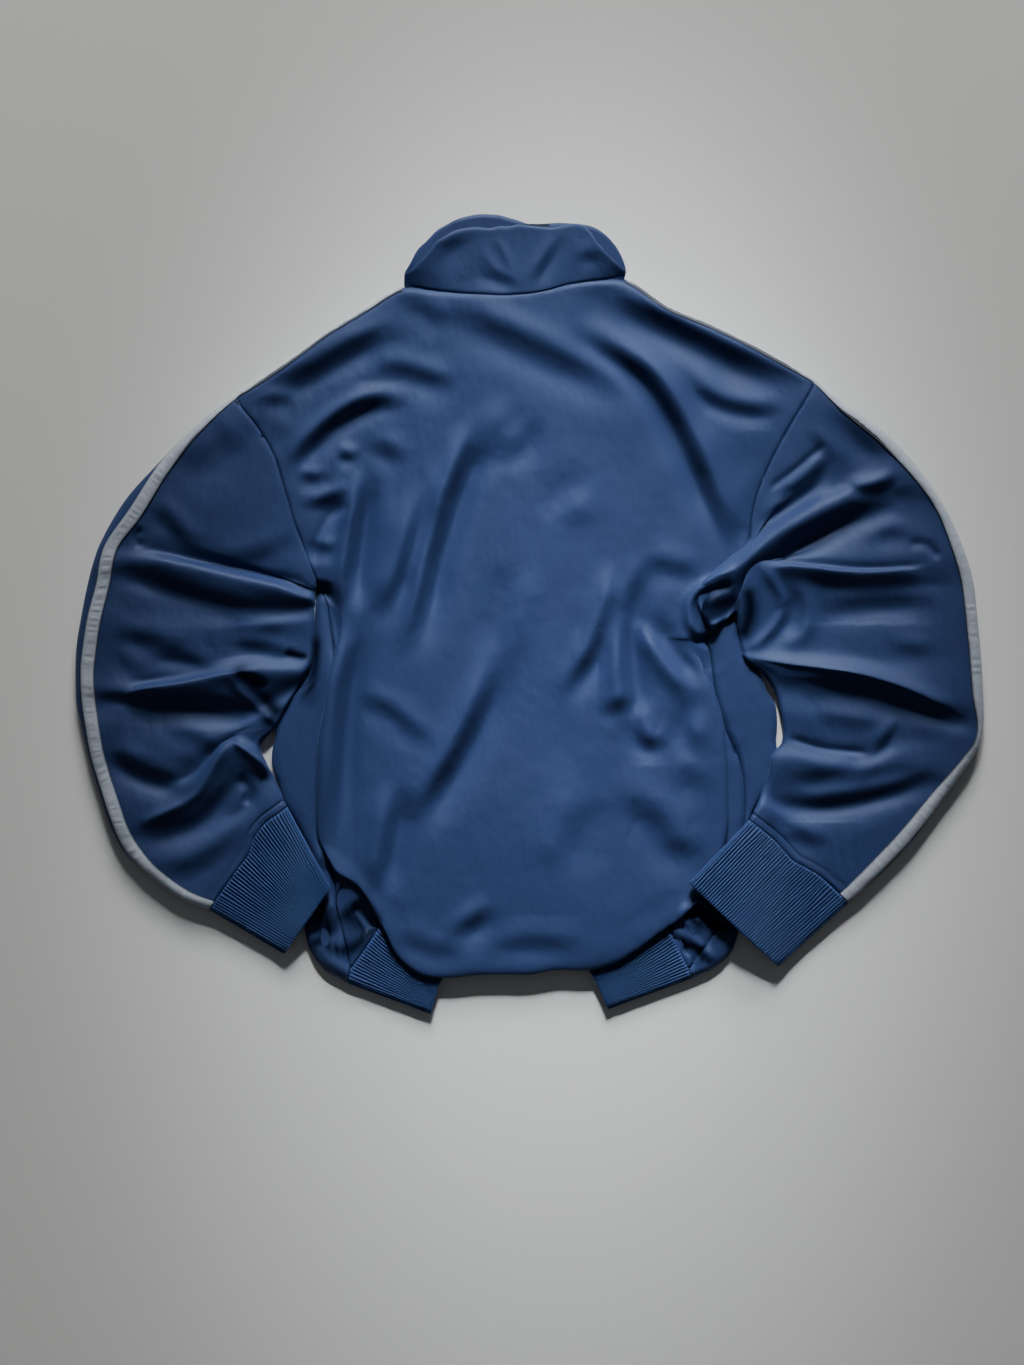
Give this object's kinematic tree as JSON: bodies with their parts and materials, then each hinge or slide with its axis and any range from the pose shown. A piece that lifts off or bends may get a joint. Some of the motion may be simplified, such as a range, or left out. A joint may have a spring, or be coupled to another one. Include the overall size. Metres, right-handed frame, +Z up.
{
  "type": "track jacket",
  "caption": "Zip-front track jacket with stand collar, ribbed cuffs and hem and contrast sleeve tape, lying flat with its back up.",
  "frame": {"origin": "centre of the jacket's footprint, on the surface it lies on", "axes": "+Z up out of the surface, +Y towards the collar, +X towards the wearer's right sleeve; the jacket lies on its front"},
  "size_m": [0.801, 0.7025, 0.0257],
  "materials": {
    "navy_tricot": "smooth knit with a soft sheen",
    "navy_rib": "matt ribbed knit",
    "grey_tape": "plain woven tape, topstitched",
    "zip_navy": "coil zip on a woven tape",
    "zip_metal": "painted slider"
  },
  "bodies": {
    "root": {"back": "navy_tricot", "front_left": "navy_tricot", "front_right": "navy_tricot", "sleeve_left": "navy_tricot", "sleeve_right": "navy_tricot", "collar": "navy_tricot", "cuff_left": "navy_rib", "cuff_right": "navy_rib", "hem_rib": "navy_rib", "tape_left": "grey_tape", "tape_right": "grey_tape", "zip": "zip_navy", "zip_slider": "zip_metal"}
  },
  "joints": []
}
